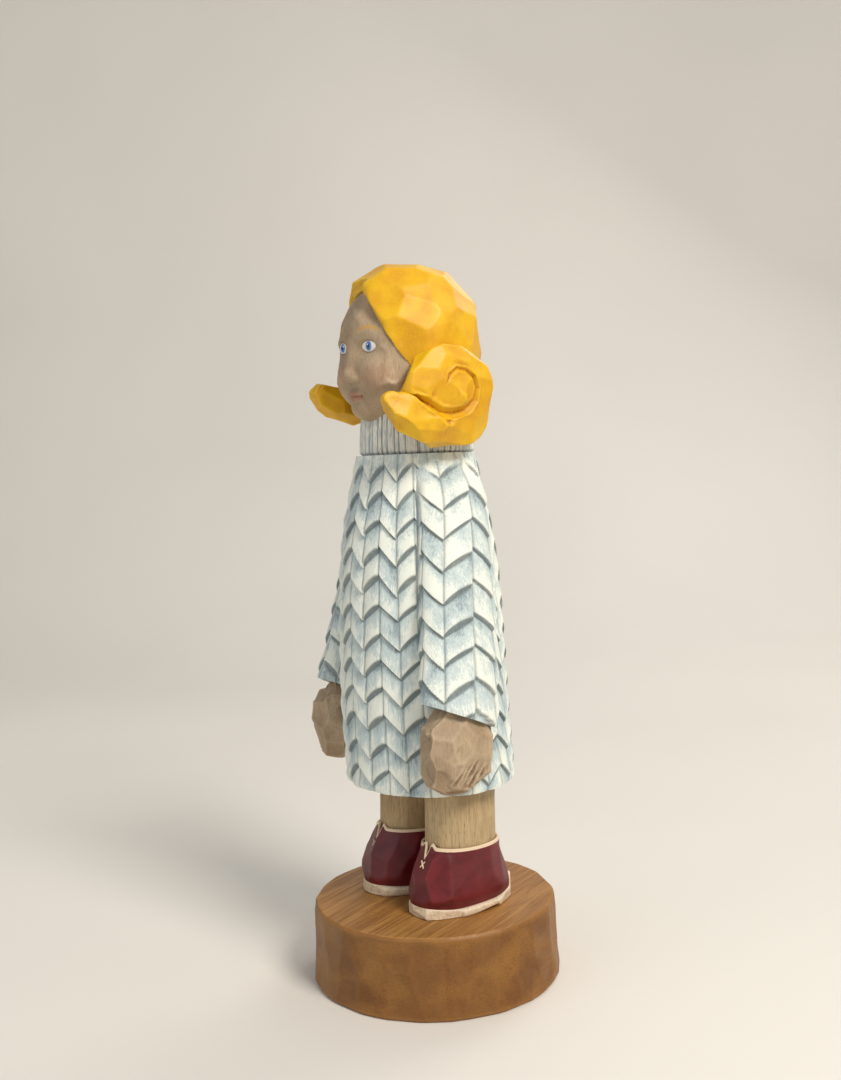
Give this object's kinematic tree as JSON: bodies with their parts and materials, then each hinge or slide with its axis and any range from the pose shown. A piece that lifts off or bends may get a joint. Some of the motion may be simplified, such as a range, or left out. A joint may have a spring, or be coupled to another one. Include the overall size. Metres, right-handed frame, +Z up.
{
  "type": "carved wooden figurine",
  "caption": "Standing carved wooden child figure with side curls, in a long herringbone-knit dress and ankle boots, on a round whittled base.",
  "frame": {"origin": "centre of the base's underside", "axes": "+Z up along the figure, the figure faces -Y, +X is the figure's left side"},
  "size_m": [0.0912, 0.0878, 0.2515],
  "materials": {
    "base_wood": "whittled and oiled, satin",
    "screw_steel": "zinc plated",
    "cream_paint": "thin matte paint",
    "boot_paint": "satin paint",
    "bare_wood": "bare, open grain",
    "dress_paint": "matte off-white paint with blue-grey washes over carving",
    "collar_paint": "matte paint over carved ribs",
    "skin_wood": "thin stain with painted features",
    "hair_paint": "satin paint over tool facets",
    "dowel_wood": "plain, glued"
  },
  "bodies": {
    "root": {"base_disc": "base_wood", "base_screws": "screw_steel", "left_sole": "cream_paint", "right_sole": "cream_paint", "left_boot": "boot_paint", "right_boot": "boot_paint", "left_leg": "bare_wood", "right_leg": "bare_wood", "dress_trunk": "dress_paint", "left_sleeve": "dress_paint", "right_sleeve": "dress_paint", "collar": "collar_paint", "left_hand": "skin_wood", "right_hand": "skin_wood", "head": "skin_wood", "hair_cap": "hair_paint", "left_curl": "hair_paint", "right_curl": "hair_paint", "neck_dowel": "dowel_wood", "sleeve_dowels": "dowel_wood", "wrist_dowels": "dowel_wood", "curl_dowels": "dowel_wood"}
  },
  "joints": []
}
